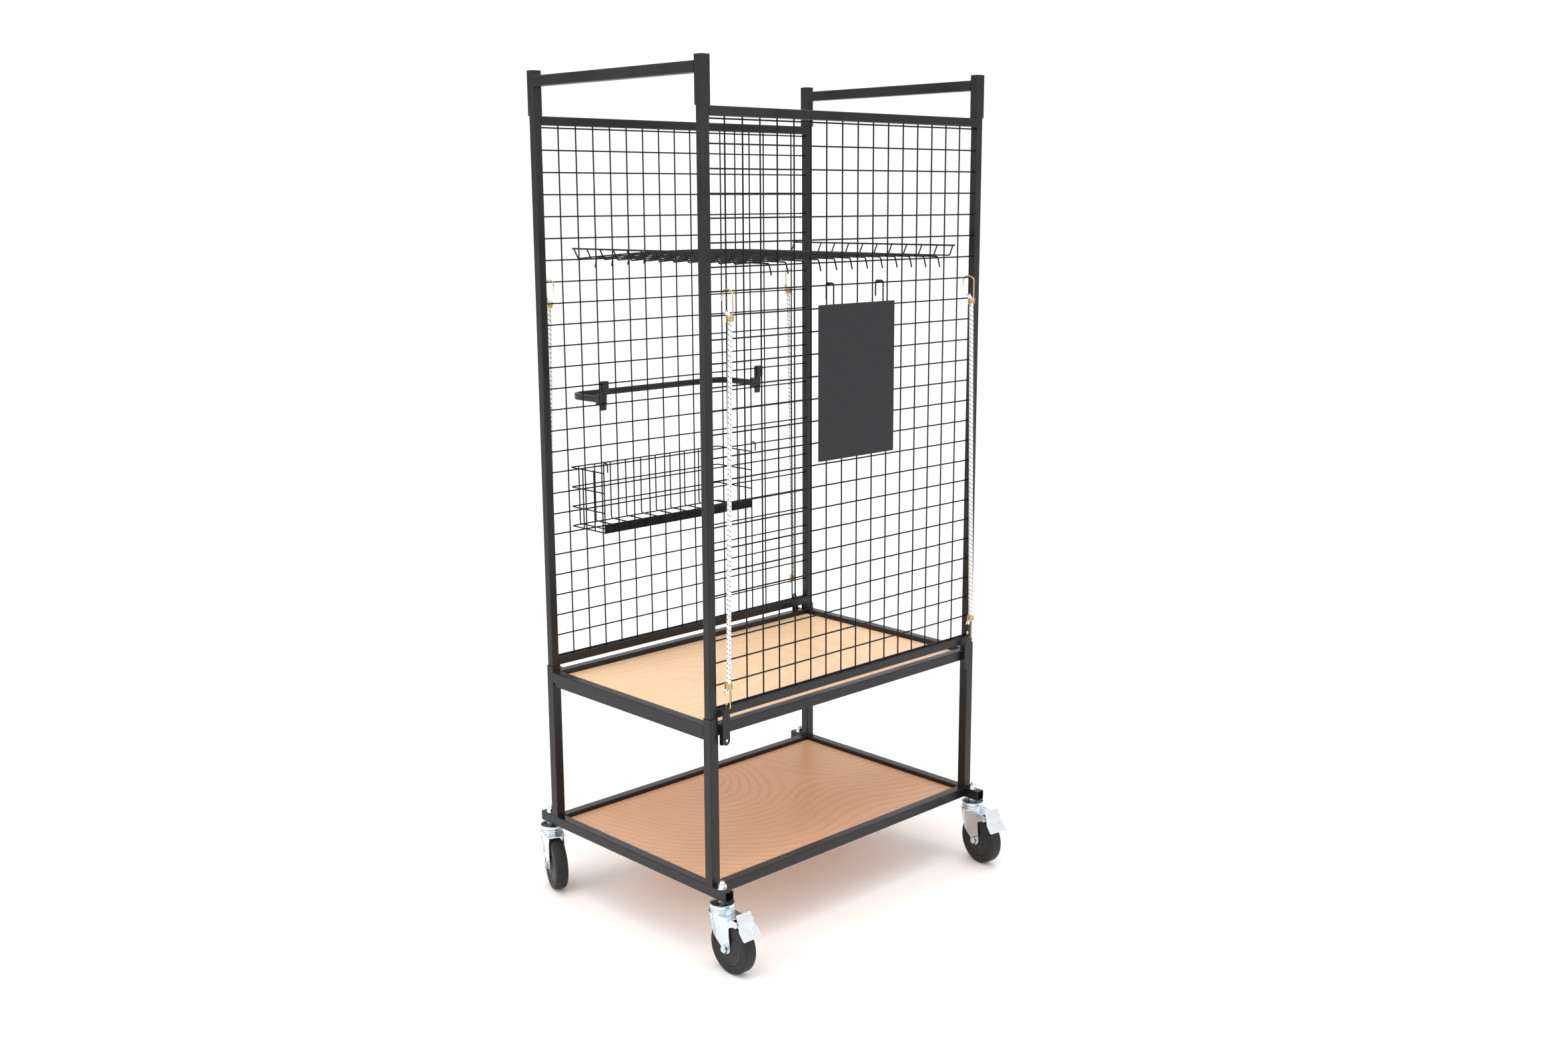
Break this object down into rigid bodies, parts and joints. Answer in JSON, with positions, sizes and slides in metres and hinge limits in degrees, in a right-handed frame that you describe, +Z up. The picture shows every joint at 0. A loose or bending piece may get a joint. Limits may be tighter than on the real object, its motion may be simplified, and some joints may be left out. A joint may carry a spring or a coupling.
{
  "type": "roll cage container",
  "caption": "Two-tier tubular roll cage on swivel casters, with lift-out mesh sides, end handles, plywood decks, elastic cords and hook-on wire accessories.",
  "frame": {"origin": "on the floor, under the middle of the rectangular frame", "axes": "+Z up, +X along the mesh panels, +Y towards the panel that carries the basket and the bag hoop"},
  "size_m": [0.9726, 0.866, 1.9694],
  "materials": {
    "black_coat": "semi-gloss black powder coat",
    "black_wire": "semi-gloss black coated wire",
    "beech_light": "clear beech plywood, light",
    "beech_dark": "clear beech plywood, warmer and darker",
    "bright_zinc": "bright blue-white zinc plate",
    "gold_zinc": "yellow zinc plate",
    "wheel_rubber": "matt black rubber",
    "wheel_core": "matt black moulded core",
    "cord_braid": "white braid with dark ticks",
    "sign_face": "matt charcoal sheet, left blank"
  },
  "bodies": {
    "base": {"base_post_front_left": "black_coat", "base_post_front_right": "black_coat", "base_post_back_left": "black_coat", "base_post_back_right": "black_coat", "lower_end_rail_left": "black_coat", "lower_end_rail_right": "black_coat", "lower_front_rail": "black_coat", "lower_back_rail": "black_coat", "upper_end_rail_left": "black_coat", "upper_end_rail_right": "black_coat", "upper_front_rail": "black_coat", "upper_back_rail": "black_coat", "board_ledges": "black_coat", "upper_board": "beech_light", "lower_board": "beech_dark", "cord_brackets": "black_coat", "caster_stems": "bright_zinc", "stem_nuts": "bright_zinc", "caster_raceways": "bright_zinc", "lower_cord_hooks": "gold_zinc"},
    "cage": {"front_panel_posts": "black_coat", "back_panel_posts": "black_coat", "front_panel_rails": "black_coat", "back_panel_rails": "black_coat", "front_vertical_wires": "black_wire", "front_horizontal_wires": "black_wire", "back_vertical_wires": "black_wire", "back_horizontal_wires": "black_wire", "upper_cord_hooks": "gold_zinc", "elastic_cords": "cord_braid"},
    "left_handle": {"left_handle_sleeves": "black_coat", "left_handle_bar": "black_coat"},
    "right_handle": {"right_handle_sleeves": "black_coat", "right_handle_bar": "black_coat"},
    "wire_shelf": {"shelf_long_wires": "black_wire", "shelf_cross_wires": "black_wire"},
    "basket": {"basket_frame": "black_wire", "basket_uprights": "black_wire"},
    "hoop": {"bag_hoop": "black_coat", "hoop_clips": "black_coat"},
    "sign": {"sign_plate": "sign_face", "sign_hooks": "black_wire"},
    "swivel_front_left": {"fork_front_left": "bright_zinc", "axle_front_left": "bright_zinc"},
    "wheel_front_left": {"tyre_front_left": "wheel_rubber", "hub_front_left": "wheel_core"},
    "pedal_left": {"brake_pedal_left": "bright_zinc"},
    "swivel_front_right": {"fork_front_right": "bright_zinc", "axle_front_right": "bright_zinc"},
    "wheel_front_right": {"tyre_front_right": "wheel_rubber", "hub_front_right": "wheel_core"},
    "pedal_right": {"brake_pedal_right": "bright_zinc"},
    "swivel_back_left": {"fork_back_left": "bright_zinc", "axle_back_left": "bright_zinc"},
    "wheel_back_left": {"tyre_back_left": "wheel_rubber", "hub_back_left": "wheel_core"},
    "swivel_back_right": {"fork_back_right": "bright_zinc", "axle_back_right": "bright_zinc"},
    "wheel_back_right": {"tyre_back_right": "wheel_rubber", "hub_back_right": "wheel_core"}
  },
  "joints": [
    {"name": "cage_lift", "type": "slide", "parent": "base", "child": "cage", "axis": [0, 0, 1], "range_m": [0, 0.1], "deforming": ["elastic_cords"]},
    {"name": "left_handle_lift", "type": "slide", "parent": "cage", "child": "left_handle", "axis": [0, 0, 1], "range_m": [0, 0.12]},
    {"name": "right_handle_lift", "type": "slide", "parent": "cage", "child": "right_handle", "axis": [0, 0, 1], "range_m": [0, 0.12]},
    {"name": "shelf_lift", "type": "slide", "parent": "cage", "child": "wire_shelf", "axis": [0, 0, 1], "range_m": [0, 0.035]},
    {"name": "basket_lift", "type": "slide", "parent": "cage", "child": "basket", "axis": [0, 0, 1], "range_m": [0, 0.03]},
    {"name": "hoop_lift", "type": "slide", "parent": "cage", "child": "hoop", "axis": [0, 0, 1], "range_m": [0, 0.03]},
    {"name": "sign_lift", "type": "slide", "parent": "cage", "child": "sign", "axis": [0, 0, 1], "range_m": [0, 0.03]},
    {"name": "swivel_front_left", "type": "hinge", "parent": "base", "child": "swivel_front_left", "pos_m": [-0.436, -0.319, 0.14], "axis": [0, 0, 1], "continuous": true},
    {"name": "wheel_front_left", "type": "hinge", "parent": "swivel_front_left", "child": "wheel_front_left", "pos_m": [-0.43729, -0.35598, 0.0625], "axis": [0.9994, -0.0349, 0], "continuous": true},
    {"name": "pedal_left", "type": "hinge", "parent": "swivel_front_left", "child": "pedal_left", "pos_m": [-0.43834, -0.38596, 0.127], "axis": [0.9994, -0.0349, 0], "range_deg": [0, 6]},
    {"name": "swivel_front_right", "type": "hinge", "parent": "base", "child": "swivel_front_right", "pos_m": [0.436, -0.319, 0.14], "axis": [0, 0, 1], "continuous": true},
    {"name": "wheel_front_right", "type": "hinge", "parent": "swivel_front_right", "child": "wheel_front_right", "pos_m": [0.42894, -0.35532, 0.0625], "axis": [0.9816, -0.1908, 0], "continuous": true},
    {"name": "pedal_right", "type": "hinge", "parent": "swivel_front_right", "child": "pedal_right", "pos_m": [0.42322, -0.38477, 0.127], "axis": [0.9816, -0.1908, 0], "range_deg": [0, 6]},
    {"name": "swivel_back_left", "type": "hinge", "parent": "base", "child": "swivel_back_left", "pos_m": [-0.436, 0.319, 0.14], "axis": [0, 0, 1], "continuous": true},
    {"name": "wheel_back_left", "type": "hinge", "parent": "swivel_back_left", "child": "wheel_back_left", "pos_m": [-0.44986, 0.28469, 0.0625], "axis": [0.9272, -0.3746, 0], "continuous": true},
    {"name": "swivel_back_right", "type": "hinge", "parent": "base", "child": "swivel_back_right", "pos_m": [0.436, 0.319, 0.14], "axis": [0, 0, 1], "continuous": true},
    {"name": "wheel_back_right", "type": "hinge", "parent": "swivel_back_right", "child": "wheel_back_right", "pos_m": [0.44986, 0.28469, 0.0625], "axis": [0.9272, 0.3746, 0], "continuous": true}
  ]
}
